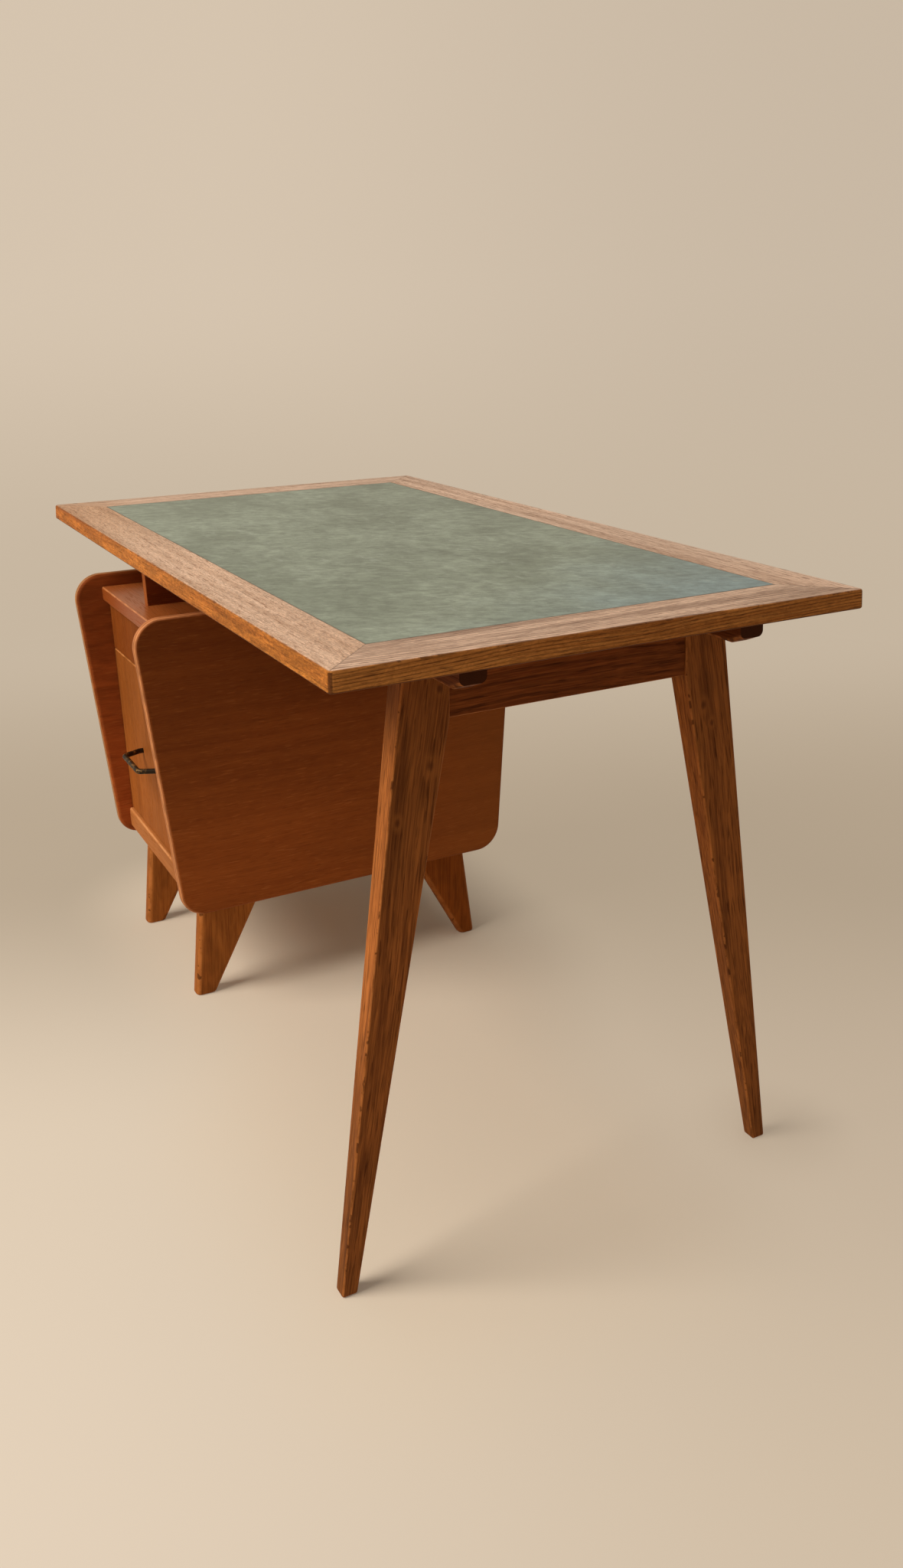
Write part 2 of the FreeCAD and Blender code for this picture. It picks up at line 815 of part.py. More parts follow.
def build_drawers():
    """Both drawers and the handle of the lower one."""
    upper_floor = divider_top + drawer_slide_clearance
    upper_bottom = drawer_box("upper", upper_floor, shelf_underside - upper_drawer_head_room)
    upper = ease(drawer_front(upper_front_bottom, upper_front_top), front_edge_radius, on_front_face)
    parts["upper_drawer_front"] = upper.cut(upper_bottom)

    lower_floor = bottom_rail_top + drawer_slide_clearance
    lower_bottom = drawer_box("lower", lower_floor, divider_underside - lower_drawer_head_room)
    blank = drawer_front(lower_front_bottom, lower_front_top)
    middle_z = (lower_front_bottom + lower_front_top) / 2
    bevelled = [edge for edge in blank.Edges if on_front_face(edge) and edge.BoundBox.ZMin > middle_z]
    blank = blank.makeChamfer(lower_front_bevel, bevelled)
    lower = ease(
        blank, front_edge_radius, lambda edge: on_front_face(edge) and edge.BoundBox.ZMax < middle_z
    )
    screws = handle_screws()
    parts["bow_handle"] = cut_all(bow_handle(), [lower] + screws)
    parts["lower_drawer_front"] = cut_all(lower, [lower_bottom] + screws)
    parts["handle_screws"] = Part.makeCompound(screws)


def main():
    bearers = build_top()
    build_leg_frame(bearers)
    build_pedestal(bearers)
    build_drawers()
    os.makedirs("parts", exist_ok=True)
    for name, shape in parts.items():
        shape.exportStep(os.path.join("parts", name + ".step"))
        print(name, len(shape.Solids), "solids", shape.isValid(), round(shape.Volume), shape.BoundBox)


main()
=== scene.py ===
import math

import bpy
from mathutils import Matrix, Vector


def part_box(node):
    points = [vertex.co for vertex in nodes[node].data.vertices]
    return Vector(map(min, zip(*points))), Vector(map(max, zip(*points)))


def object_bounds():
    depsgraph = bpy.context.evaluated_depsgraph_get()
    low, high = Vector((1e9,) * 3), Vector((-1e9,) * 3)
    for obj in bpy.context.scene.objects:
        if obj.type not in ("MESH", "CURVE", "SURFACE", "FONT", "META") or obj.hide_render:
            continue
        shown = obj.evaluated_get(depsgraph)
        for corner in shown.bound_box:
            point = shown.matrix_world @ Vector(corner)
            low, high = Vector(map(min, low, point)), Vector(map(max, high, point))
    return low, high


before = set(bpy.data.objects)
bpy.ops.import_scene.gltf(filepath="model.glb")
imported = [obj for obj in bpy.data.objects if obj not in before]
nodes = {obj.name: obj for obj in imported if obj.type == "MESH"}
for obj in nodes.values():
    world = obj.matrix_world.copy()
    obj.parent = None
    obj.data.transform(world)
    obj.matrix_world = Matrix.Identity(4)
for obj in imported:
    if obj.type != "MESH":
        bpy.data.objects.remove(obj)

cad_low, cad_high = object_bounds()
scene = bpy.context.scene
scene.view_settings.view_transform = "Standard"

# Sizes of the desk that its looks follow, in metres, from the frame where a node has them
rail_low, rail_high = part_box("top_rail_front")
FRAME_WIDTH = rail_high[1] - rail_low[1]
TOP_UNDERSIDE = rail_low[2]
LEG_RUN = 0.104
LEG_LEAN = math.atan2(LEG_RUN, TOP_UNDERSIDE)
PLY_PITCH = 0.0046

# The photograph's camera: angles, place in metres, pixels of the photograph, sensor in millimetres
CAMERA_AZIMUTH = math.radians(62.984)
CAMERA_ELEVATION = math.radians(6.594)
CAMERA_ROLL = math.radians(-0.882)
CAMERA_PLACE = (1.73112, -0.832825, 1.098847)
PHOTO_WIDTH = 1180
PHOTO_HEIGHT = 2048
FOCAL_LENGTH = 1728.044
CENTRE_COLUMN = 536.734
CENTRE_ROW = 586.849
SENSOR_WIDTH = 36.0
LEVEL_AWAY = (-math.sin(CAMERA_AZIMUTH), math.cos(CAMERA_AZIMUTH), 0.0)
LEVEL_RIGHT = (math.cos(CAMERA_AZIMUTH), math.sin(CAMERA_AZIMUTH), 0.0)

# Ranges of the surface normal over which a face turns up, turns to the sitter or becomes an arris
UP = (0.7, 0.97)
FRONT = (-0.5, -0.9)
ARRIS = (0.985, 0.86)


class Shader:
    """One node material, with short calls for the nodes that it is made of."""

    def __init__(self, name):
        self.material = bpy.data.materials.new(name)
        self.material.use_nodes = True
        self.tree = self.material.node_tree
        self.surface = self.tree.nodes["Principled BSDF"]

    def node(self, kind, inputs=None, **settings):
        made = self.tree.nodes.new(kind)
        for key, value in settings.items():
            setattr(made, key, value)
        for key, value in (inputs or {}).items():
            self.feed(made.inputs[key], value)
        return made

    def feed(self, socket, value):
        if isinstance(value, bpy.types.NodeSocket):
            self.tree.links.new(value, socket)
        else:
            socket.default_value = value

    def set(self, **values):
        for key, value in values.items():
            self.feed(self.surface.inputs[key.replace("_", " ")], value)

    def coords(self):
        return self.node("ShaderNodeTexCoord").outputs["Object"]

    def split(self, vector):
        return self.node("ShaderNodeSeparateXYZ", {0: vector}).outputs

    def join(self, x, y, z):
        return self.node("ShaderNodeCombineXYZ", {0: x, 1: y, 2: z}).outputs[0]

    def place(self, vector, scale=(1, 1, 1), location=(0, 0, 0), rotation=(0, 0, 0)):
        inputs = {"Vector": vector, "Scale": scale, "Location": location, "Rotation": rotation}
        return self.node("ShaderNodeMapping", inputs).outputs[0]

    def noise(self, vector, waves, detail=3.0, rough=0.5, twist=0.0, out=0, **placing):
        """Noise with so many waves per metre along each axis."""
        inputs = {
            "Vector": self.place(vector, scale=waves, **placing),
            "Scale": 1.0,
            "Detail": detail,
            "Roughness": rough,
            "Distortion": twist,
        }
        return self.node("ShaderNodeTexNoise", inputs).outputs[out]

    def math(self, how, a, b=0.0):
        return self.node("ShaderNodeMath", {0: a, 1: b}, operation=how).outputs[0]

    def plus(self, a, b):
        return self.math("ADD", a, b)

    def minus(self, a, b):
        return self.math("SUBTRACT", a, b)

    def times(self, a, b):
        return self.math("MULTIPLY", a, b)

    def larger(self, a, b):
        return self.math("MAXIMUM", a, b)

    def size(self, a):
        return self.math("ABSOLUTE", a)

    def vmath(self, how, a, b=(0, 0, 0), out=0):
        return self.node("ShaderNodeVectorMath", {0: a, 1: b}, operation=how).outputs[out]

    def length(self, vector):
        return self.vmath("LENGTH", vector, out="Value")

    def dot(self, a, b):
        return self.vmath("DOT_PRODUCT", a, b, out="Value")

    def between(self, value, low, high, to_low=0.0, to_high=1.0, how="SMOOTHSTEP"):
        """A value's way from low to high, as a share or from one new value to another."""
        inputs = {"Value": value, "From Min": low, "From Max": high, "To Min": to_low, "To Max": to_high}
        return self.node("ShaderNodeMapRange", inputs, interpolation_type=how).outputs[0]

    def mix(self, share, a, b, how="MIX"):
        made = self.node("ShaderNodeMix", data_type="RGBA", blend_type=how)
        self.feed(made.inputs["Factor"], share)
        self.feed(made.inputs[6], a)
        self.feed(made.inputs[7], b)
        return made.outputs[2]

    def shade(self, colour, share, low, high):
        """A colour made darker or lighter by a share between two factors."""
        grey = self.between(share, 0.0, 1.0, low, high, how="LINEAR")
        return self.mix(1.0, colour, self.join(grey, grey, grey), "MULTIPLY")

    def bump(self, height, strength, distance):
        inputs = {"Height": height, "Strength": strength, "Distance": distance}
        return self.node("ShaderNodeBump", inputs).outputs[0]

    def facing(self):
        """How far the surface faces along Y, along Z and either way along X, and a mask of its arrises."""
        x, y, z = self.split(self.node("ShaderNodeNewGeometry").outputs["Normal"])
        either_x = self.size(x)
        largest = self.larger(self.larger(either_x, self.size(y)), self.size(z))
        return {"x": either_x, "y": y, "z": z, "arris": self.between(largest, *ARRIS)}


def rgb(red, green, blue):
    """A colour written as 0 to 255 screen values, as the linear values that shaders take."""

    def linear(value):
        value /= 255
        return value / 12.92 if value <= 0.04045 else ((value + 0.055) / 1.055) ** 2.4

    return (linear(red), linear(green), linear(blue), 1.0)


def assign(names, material):
    for name in names.split():
        mesh = nodes[name].data
        mesh.materials.clear()
        mesh.materials.append(material)


# Wood: waves per metre of the layers of its grain, along it and across it
BEND_WAVES = (2.5, 9.0)
STREAK_WAVES = (1.8, 70.0)
FINE_WAVES = (11.0, 560.0)
BROAD_WAVES = (2.2, 10.0)
SWAY_WAVES = (0.9, 5.0)
BLOTCH_WAVES = (16.0, 60.0)
CURL_WAVES = (85.0, 210.0)
DASH_WAVES = (45.0, 520.0)

# Wood: waves per metre of the wear on its arrises, along X, Y and Z
PATCH_WAVES = (45.0, 45.0, 45.0)
CHIP_WAVES = (80.0, 80.0, 80.0)

# Wood: depths in metres, where the noise of a board starts, and the factors of its look
BEND_DEPTH = 0.02
RELIEF_DEPTH = 0.0005
SEED_STEP = (1.37, 0.71, 2.13)
DASH_START = (3.0, 1.0, 2.0)
GRAIN_ORDER = {"X": (0, 1, 2), "Y": (1, 0, 2), "Z": (2, 0, 1)}
RING_SLOPE = (0.55, 0.83)
RING_SHADE = 0.3
STREAK_SPREAD = 0.17
DULL_SPECULAR = 0.04
KNOT_STRETCH = (1.0, 1.0, 1.5)


def grain_noise(s, vector, waves, **kind):
    """Noise drawn out along the grain."""
    along, across = waves
    return s.noise(vector, (along, across, across), **kind)


def wood_grain(s, axis, seed, tilt, ring_gap, ring_sway, pore_waves):
    """Layers of a board's grain, and the straight and the bent coordinates that they follow."""
    parts = s.split(s.coords())
    along, across, through = (parts[index] for index in GRAIN_ORDER[axis])
    start = tuple(seed * step for step in SEED_STEP)
    straight = s.place(s.join(along, across, through), location=start, rotation=(0.0, tilt, 0.0))
    bend = grain_noise(s, straight, BEND_WAVES, detail=2.0, out="Color")
    bend = s.vmath("MULTIPLY", s.vmath("SUBTRACT", bend, (0.5, 0.5, 0.5)), (0.0, BEND_DEPTH, BEND_DEPTH))
    bent = s.vmath("ADD", straight, bend)
    broad = grain_noise(s, straight, BROAD_WAVES)
    sway = grain_noise(s, straight, SWAY_WAVES, detail=1.5, rough=0.4)
    _, side, depth = s.split(bent)
    phase = s.plus(s.times(side, RING_SLOPE[0]), s.times(depth, RING_SLOPE[1]))
    phase = s.plus(s.times(phase, 2 * math.pi / ring_gap), s.times(sway, ring_sway))
    ring = s.between(s.math("SINE", phase), -0.1, 1.0)
    ring = s.times(ring, s.between(broad, 0.3, 0.65, 0.35, 1.0))
    pit = s.between(grain_noise(s, bent, pore_waves, detail=1.5), 0.55, 0.63)
    return {
        "straight": straight,
        "bent": bent,
        "broad": broad,
        "ring": ring,
        "pit": s.times(pit, s.between(ring, 0.0, 0.6, 0.55, 1.0)),
        "streak": grain_noise(s, bent, STREAK_WAVES, detail=4.0, rough=0.6),
        "fine": grain_noise(s, bent, FINE_WAVES, rough=0.6),
    }


def knot(s, colour, fine, centre, radius, ring_tone, core_tone):
    """A knot drawn out along the leg: a pale ring round a dark core, both frayed by the fine grain."""
    scale = tuple(1.0 / (radius * share) for share in KNOT_STRETCH)
    gap = s.vmath("MULTIPLY", s.vmath("SUBTRACT", s.coords(), centre), scale)
    reach = s.plus(s.length(gap), s.times(s.minus(fine, 0.5), 1.6))
    colour = s.mix(s.times(s.between(reach, 2.8, 1.2), 0.35), colour, rgb(*ring_tone))
    return s.mix(s.times(s.between(reach, 1.3, 0.2), 0.6), colour, rgb(*core_tone))


def height_painted_shade(s, colour, low, high, low_share, high_share):
    """Painted shade: a colour that gets darker or lighter from one height to another."""
    z = s.split(s.coords())[2]
    return s.shade(colour, s.between(z, low, high), low_share, high_share)


def worn_arris(s, colour, facing, tone, wear):
    """Arrises rubbed to another tone, in patches."""
    patch = s.noise(s.coords(), PATCH_WAVES, detail=4.0, rough=0.7)
    mask = s.times(facing["arris"], s.between(patch, 0.34, 0.62, 0.2, 1.0))
    return s.mix(s.times(mask, wear), colour, rgb(*tone))


def chipped_arris(s, colour, facing, tone, chips):
    """Small dark chips along the arrises."""
    spot = s.noise(s.coords(), CHIP_WAVES, detail=2.0)
    mask = s.times(s.between(facing["arris"], 0.1, 0.5), s.between(spot, 0.60, 0.66))
    return s.mix(s.times(mask, chips), colour, rgb(*tone))


def wood(
    name,
    axis,
    seed,
    light,
    dark,
    painted_sheen_light=None,
    painted_sheen_dark=None,
    rings=0.3,
    ring_gap=0.006,
    ring_sway=60.0,
    streaks=1.0,
    fineness=0.4,
    pores=0.6,
    pore=(70, 34, 12),
    pore_waves=(60.0, 800.0),
    flecks=0.0,
    fleck=(190, 110, 60),
    drift=0.1,
    rough=0.45,
    specular=0.3,
    worn=None,
    wear=0.6,
    chips=0.0,
    figure=0.0,
    curl=0.0,
    painted_shade=None,
    tilt=0.0,
    knots=(),
    paint=None,
    relief=0.25,
):
    """Varnished wood: streaks, growth rings, short pores, uneven sheen and worn arrises; where given, a
    painted sheen on faces that look up, and painted shade by height.
    """
    s = Shader(name)
    grain = wood_grain(s, axis, seed, tilt, ring_gap, ring_sway, pore_waves)
    facing = s.facing()
    tone = s.plus(s.times(grain["streak"], 1.0 - fineness), s.times(grain["fine"], fineness))
    tone = s.between(tone, 0.5 - STREAK_SPREAD / streaks, 0.5 + STREAK_SPREAD / streaks)
    colour = s.mix(tone, rgb(*dark), rgb(*light))
    if figure:
        blotch = grain_noise(s, grain["straight"], BLOTCH_WAVES, rough=0.55, twist=0.6)
        colour = s.shade(colour, s.between(blotch, 0.3, 0.7), 1.0 - figure, 1.0 + figure)
    # painted sheen: faces that look up take paler tones, standing in for the reflection of the pale wall
    if painted_sheen_light:
        painted_sheen_tone = s.mix(tone, rgb(*painted_sheen_dark), rgb(*painted_sheen_light))
        colour = s.mix(s.between(facing["z"], *UP), colour, painted_sheen_tone)
        specular = s.between(facing["z"], *UP, DULL_SPECULAR, specular)
    if curl:
        twist = grain_noise(s, grain["straight"], CURL_WAVES, rough=0.6, twist=2.2)
        colour = s.shade(colour, s.between(twist, 0.32, 0.68), 1.0 - curl, 1.0 + curl)
    colour = s.shade(colour, s.times(grain["ring"], rings), 1.0, RING_SHADE)
    colour = s.shade(colour, s.between(grain["broad"], 0.28, 0.72), 1.0 - drift, 1.0 + drift)
    if flecks:
        dash = grain_noise(s, grain["bent"], DASH_WAVES, detail=1.0, rough=0.4, location=DASH_START)
        colour = s.mix(s.times(s.between(dash, 0.59, 0.74), flecks), colour, rgb(*fleck))
    colour = s.mix(s.times(grain["pit"], pores), colour, rgb(*pore))
    for centre, radius in knots:
        colour = knot(s, colour, grain["fine"], centre, radius, light, pore)
    # painted shade that changes with height
    if painted_shade:
        colour = height_painted_shade(s, colour, **painted_shade)
    if paint:
        colour = paint(s, colour, facing)
    if worn:
        colour = worn_arris(s, colour, facing, worn, wear)
    if chips:
        colour = chipped_arris(s, colour, facing, pore, chips)
    gloss = s.plus(s.times(grain["broad"], 0.16), s.times(grain["pit"], 0.2))
    height = s.minus(s.times(grain["fine"], 0.35), grain["pit"])
    s.set(
        Base_Color=colour,
        Roughness=s.plus(gloss, rough - 0.08),
        Specular_IOR_Level=specular,
        Normal=s.bump(height, relief, RELIEF_DEPTH),
    )
    return s.material


def dress(*boards):
    """Give boards their wood: names of nodes, name of the material, axis of the grain, seed and look."""
    for names, title, axis, seed, look in boards:
        assign(names, wood(title, axis, seed, **look))


def from_edges(s, inset=0.0):
    """How far a point of the top lies from its ends and its long sides, or from lines inside them."""
    x, y, _ = s.split(s.coords())
    return s.minus(cad_high[0] - inset, s.size(x)), s.minus(cad_high[1] - inset, s.size(y))


# Desk top: lines along its joints, and a browner left end of its front rail that paints its sheen weaker
# there, in metres, and their tones
MITRE_LINE = (0.0016, 0.0004)
INLAY_LINE = (0.0018, 0.0005)
LINE_TONE = (84, 58, 40)
LOW_ARRIS = (0.5, 0.1)
LOW_ARRIS_TONE = (66, 35, 16)
PAINTED_DULL_END_X = (0.1, -0.55)
PAINTED_DULL_END_Y = (-0.2, -0.3)
PAINTED_DULL_END_TINT = (0.84, 0.74, 0.62, 1.0)


def rail_paint(s, colour, facing):
    """Paint for the top's rails: dark lower arrises, a browner left end in front as a painted weaker
    sheen, and a line along mitres and inlay.
    """
    x, y, _ = s.split(s.coords())
    from_end, from_side = from_edges(s)
    off_mitre = s.size(s.minus(from_end, from_side))
    off_inlay = s.minus(FRAME_WIDTH, s.math("MINIMUM", from_end, from_side))
    low_arris = s.times(facing["arris"], s.between(facing["z"], *LOW_ARRIS))
    colour = s.mix(s.times(low_arris, 0.8), colour, rgb(*LOW_ARRIS_TONE))
    # painted sheen, weaker at the front rail's left end: its colour there is tinted browner
    painted_dull_end = s.times(s.between(x, *PAINTED_DULL_END_X), s.between(y, *PAINTED_DULL_END_Y))
    colour = s.mix(painted_dull_end, colour, PAINTED_DULL_END_TINT, "MULTIPLY")
    line = s.larger(s.between(off_mitre, *MITRE_LINE), s.between(off_inlay, *INLAY_LINE))
    line = s.times(line, s.between(facing["z"], *UP))
    return s.mix(s.times(line, 0.55), colour, rgb(*LINE_TONE))


rail_look = dict(
    light=(184, 116, 54),
    dark=(148, 84, 34),
    # painted sheen tones for the faces that look up
    painted_sheen_light=(219, 183, 155),
    painted_sheen_dark=(162, 123, 95),
    rings=0.35,
    ring_gap=0.0052,
    ring_sway=70.0,
    pores=0.8,
    pore=(84, 48, 24),
    pore_waves=(50.0, 640.0),
    rough=0.42,
    specular=0.5,
    worn=(104, 60, 30),
    wear=0.65,
    chips=0.7,
    paint=rail_paint,
    relief=0.35,
)
front_rail_look = dict(
    rail_look,
    light=(190, 119, 50),
    # painted sheen tones for the faces that look up
    painted_sheen_light=(209, 172, 143),
    painted_sheen_dark=(166, 128, 99),
    rings=0.06,
    streaks=0.9,
    pores=0.55,
    pore=(104, 62, 34),
    figure=0.24,
    curl=0.27,
    specular=0.2,
)
back_rail_look = dict(rail_look, rings=0.15, figure=0.15, curl=0.1)
right_rail_look = dict(
    rail_look,
    light=(194, 126, 62),
    # painted sheen tones for the faces that look up
    painted_sheen_light=(212, 174, 145),
    painted_sheen_dark=(130, 95, 71),
    rings=0.6,
    ring_gap=0.0034,
    ring_sway=95.0,
    pores=0.7,
    pore_waves=(45.0, 900.0),
    curl=0.14,
    tilt=0.03,
)
dress(
    ("top_rail_front", "oak_front_rail", "X", 1.0, front_rail_look),
    ("top_rail_back", "oak_back_rail", "X", 2.6, back_rail_look),
    ("top_rail_left", "oak_left_rail", "Y", 4.1, rail_look),
    ("top_rail_right", "oak_right_rail", "Y", 5.7, right_rail_look),
)


# Writing surface: waves per metre of its layers, places and sizes in metres, and tones
CLOUD_WAVES = (6.0, 7.0, 5.0)
MOTTLE_WAVES = (42.0, 48.0, 40.0)
SPECK_WAVES = (600.0, 600.0, 600.0)
WISP_WAVES = (42.0, 105.0, 40.0)
RUB_WAVES = (26.0, 60.0, 20.0)
RUB_TURN = (0.0, 0.0, -0.9)
AREA_WAVES = (4.0, 4.0, 4.0)
AREA_START = (3.1, 0.4, 0.0)
# painted sheen towards the far right corner: its slope and its reach
PAINTED_SHEEN_SLOPE = 0.8
PAINTED_SHEEN_REACH = (0.47, 0.93)
INLAY_RIM = (0.0026, 0.0008)
INLAY_RELIEF_DEPTH = 0.0006
GREEN_DEEP = (103, 111, 94)
GREEN_PALE = (129, 136, 118)
PAINTED_SHEEN_GREEN = (112, 129, 129)
SCUFF_TONE = (166, 170, 154)
RIM_TONE = (58, 62, 52)


def linoleum():
    """Sage-green writing surface: mottled, with streaky pale scuffs, a low sheen and a painted bluish
    sheen towards its far right corner.
    """
    s = Shader("writing_surface")
    p = s.coords()
    cloud = s.noise(p, CLOUD_WAVES, detail=4.0, rough=0.6)
    mottle = s.noise(p, MOTTLE_WAVES, detail=5.0, rough=0.68)
    speck = s.noise(p, SPECK_WAVES, detail=2.0)
    rub = s.noise(p, RUB_WAVES, detail=5.0, rough=0.7, rotation=RUB_TURN)
    area = s.noise(p, AREA_WAVES, detail=2.0, location=AREA_START)
    turned = s.place(p, rotation=(0.0, 0.0, -CAMERA_AZIMUTH))
    wisp = s.noise(turned, WISP_WAVES, detail=5.0, rough=0.73, twist=0.9)
    scuff = s.times(s.between(rub, 0.53, 0.72), s.between(area, 0.40, 0.60))
    x, y, _ = s.split(p)
    # painted sheen: a bluer green towards the far right corner
    corner = s.plus(x, s.times(y, PAINTED_SHEEN_SLOPE))
    painted_corner_sheen = s.between(s.plus(corner, s.times(cloud, 0.3)), *PAINTED_SHEEN_REACH)
    rim = s.between(s.math("MINIMUM", *from_edges(s, FRAME_WIDTH)), *INLAY_RIM)
    colour = s.mix(s.between(cloud, 0.32, 0.68), rgb(*GREEN_DEEP), rgb(*GREEN_PALE))
    colour = s.mix(s.times(painted_corner_sheen, 0.9), colour, rgb(*PAINTED_SHEEN_GREEN))
    colour = s.shade(colour, s.between(mottle, 0.3, 0.7), 0.86, 1.13)
    colour = s.shade(colour, s.between(wisp, 0.34, 0.66), 0.78, 1.18)
    colour = s.mix(s.times(scuff, 0.45), colour, rgb(*SCUFF_TONE))
    colour = s.shade(colour, speck, 0.9, 1.1)
    colour = s.mix(s.times(rim, 0.45), colour, rgb(*RIM_TONE))
    rough = s.plus(s.times(cloud, 0.2), s.times(scuff, 0.12))
    height = s.plus(s.times(speck, 0.5), s.times(mottle, 0.5))
    s.set(
        Base_Color=colour,
        Roughness=s.plus(rough, 0.36),
        Normal=s.bump(height, 0.12, INLAY_RELIEF_DEPTH),
    )
    return s.material


assign("top_inlay", linoleum())

# Legs, end rail and bearers: heights on the legs, and knots as a place and a radius, in metres
END_GRAIN_TONE = (62, 30, 12)
LEG_FOOT_DARKER = (0.0, 0.3)
LEG_PAINTED_LIGHT = (0.1, 0.5)
LEG_SHADE = (0.58, 0.7)
FRONT_LEG_KNOTS = (
    ((0.500, -0.187, 0.591), 0.005),
    ((0.499, -0.228, 0.534), 0.0035),
    ((0.501, -0.175, 0.676), 0.0035),
)
BACK_LEG_KNOTS = (
    ((0.500, 0.189, 0.600), 0.004),
    ((0.500, 0.2025, 0.576), 0.003),
)


def leg_paint(s, colour, facing):
    """Paint for the legs: darker towards the floor, and on the side towards the sitter painted light that
    is strongest below the top, where painted shade takes over.
    """
    z = s.split(s.coords())[2]
    colour = s.shade(colour, s.between(z, *LEG_FOOT_DARKER), 0.86, 1.0)
    # painted light on the side towards the sitter, growing with height, and painted shade of the top just
    # under it
    painted_light = s.times(s.between(z, *LEG_PAINTED_LIGHT, 0.8, 1.32), s.between(z, *LEG_SHADE, 1.0, 0.6))
    return s.shade(colour, s.between(facing["y"], *FRONT), 1.0, painted_light)


def bearer_paint(s, colour, facing):
    """Paint for the bearers: end grain, much darker than their sides."""
    return s.mix(s.between(facing["x"], 0.5, 0.9), colour, rgb(*END_GRAIN_TONE))


frame_look = dict(
    light=(168, 99, 46),
    dark=(112, 61, 26),
    rings=0.1,
    ring_gap=0.0065,
    ring_sway=40.0,
    fineness=0.65,
    pores=0.6,
    pore=(58, 26, 9),
    pore_waves=(28.0, 620.0),
    figure=0.1,
    rough=0.5,
    specular=0.04,
    worn=(196, 122, 64),
    wear=0.45,
    chips=0.7,
    relief=0.3,
)
leg_look = dict(
    frame_look,
    # painted shade of the top: the legs darker higher up
    painted_shade=dict(low=0.3, high=0.68, low_share=1.0, high_share=0.82),
    paint=leg_paint,
)
end_rail_look = dict(
    frame_look,
    # painted shade under the top: darker tones than the legs' wood
    light=(130, 69, 29),
    dark=(100, 49, 19),
    rings=0.5,
    ring_gap=0.009,
    streaks=1.2,
    # painted shadow in the gap just under the top
    painted_shade=dict(low=0.69, high=0.716, low_share=1.0, high_share=0.4),
)
bearer_look = dict(frame_look, light=(104, 54, 22), dark=(78, 37, 14), paint=bearer_paint)
dress(
    ("leg_front", "leg_front_oak", "Z", 7.2, dict(leg_look, tilt=LEG_LEAN, knots=FRONT_LEG_KNOTS)),
    ("leg_back", "leg_back_oak", "Z", 8.9, dict(leg_look, tilt=-LEG_LEAN, knots=BACK_LEG_KNOTS)),
    ("leg_rail", "end_rail_oak", "Y", 10.3, end_rail_look),
    ("bearer_front", "bearer_front_oak", "X", 11.7, bearer_look),
    ("bearer_back", "bearer_back_oak", "X", 13.1, bearer_look),
)

# Pedestal: where its panels get paler, in metres, and waves per metre of the plies on their edges
PANEL_PALE_Y = (0.0, 0.28)
PANEL_PALE_TONE = (150, 88, 38)
PLY_WAVES = (30.0, 6.0, 6.0)
PLY_SPECK_WAVES = (160.0, 50.0, 50.0)
PLY_TURN_BLEND = 0.05


def middle_x(name):
    """The middle of a node along the desk, in metres."""
    node_low, node_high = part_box(name)
    return (node_low[0] + node_high[0]) / 2


def plywood_paint(panel, pale, deep, turn):
    """Paint for a plywood panel: paler towards its back, with plies on edges that face forwards or up."""
    centre_x = middle_x(panel)

    def paint(s, colour, facing):
        x, y, _ = s.split(s.coords())
        colour = s.mix(s.between(y, *PANEL_PALE_Y, 0.0, 0.35), colour, rgb(*PANEL_PALE_TONE))
        wave = s.noise(s.coords(), PLY_WAVES, detail=2.0)
        ply = s.times(s.minus(x, centre_x), 2 * math.pi / PLY_PITCH)
        ply = s.math("SINE", s.plus(ply, s.times(wave, 1.6)))
        band = s.mix(s.between(ply, -0.6, 0.6), rgb(*deep), rgb(*pale))
        speck = s.noise(s.coords(), PLY_SPECK_WAVES, rough=0.6)
        band = s.shade(band, s.between(speck, 0.3, 0.7), 0.75, 1.12)
        open_edge = s.larger(s.between(facing["y"], -0.02, -0.3), s.between(facing["z"], 0.02, 0.3))
        turned = s.between(facing["x"], turn + PLY_TURN_BLEND, turn - PLY_TURN_BLEND)
        return s.mix(s.times(turned, open_edge), colour, band)

    return paint


def front_edge_paint(tone):
    """Paint for a board whose narrow front edge has a tone of its own."""

    def paint(s, colour, facing):
        return s.mix(s.between(facing["y"], *FRONT), colour, rgb(*tone))

    return paint


panel_look = dict(
    light=(144, 75, 28),
    dark=(126, 62, 21),
    rings=0.03,
    streaks=0.75,
    pores=0.2,
    pore=(84, 34, 12),
    pore_waves=(50.0, 600.0),
    flecks=0.3,
    fleck=(176, 102, 50),
    rough=0.5,
    specular=0.06,
    # painted shade of the top: the panels darker higher up
    painted_shade=dict(low=0.18, high=0.6, low_share=1.08, high_share=0.66),
    relief=0.1,
)
inner_panel_look = dict(
    panel_look,
    paint=plywood_paint("side_panel_inner", pale=(194, 129, 82), deep=(162, 98, 57), turn=0.91),
)
outer_panel_look = dict(
    panel_look,
    light=(158, 79, 34),
    dark=(138, 66, 26),
    figure=0.14,
    paint=plywood_paint("side_panel_outer", pale=(182, 128, 82), deep=(144, 92, 52), turn=0.5),
)
front_look = dict(
    light=(148, 84, 34),
    dark=(128, 69, 26),
    rings=0.1,
    ring_gap=0.03,
    ring_sway=30.0,
    streaks=0.8,
    pores=0.2,
    pore=(100, 48, 18),
    pore_waves=(30.0, 500.0),
    flecks=0.15,
    fleck=(196, 124, 66),
    rough=0.5,
    specular=0.04,
    worn=(206, 138, 80),
    relief=0.12,
)
# painted shade of the shelf and top: the upper drawer front in darker tones
upper_front_painted_shade_look = dict(front_look, light=(128, 66, 22), dark=(110, 53, 17))
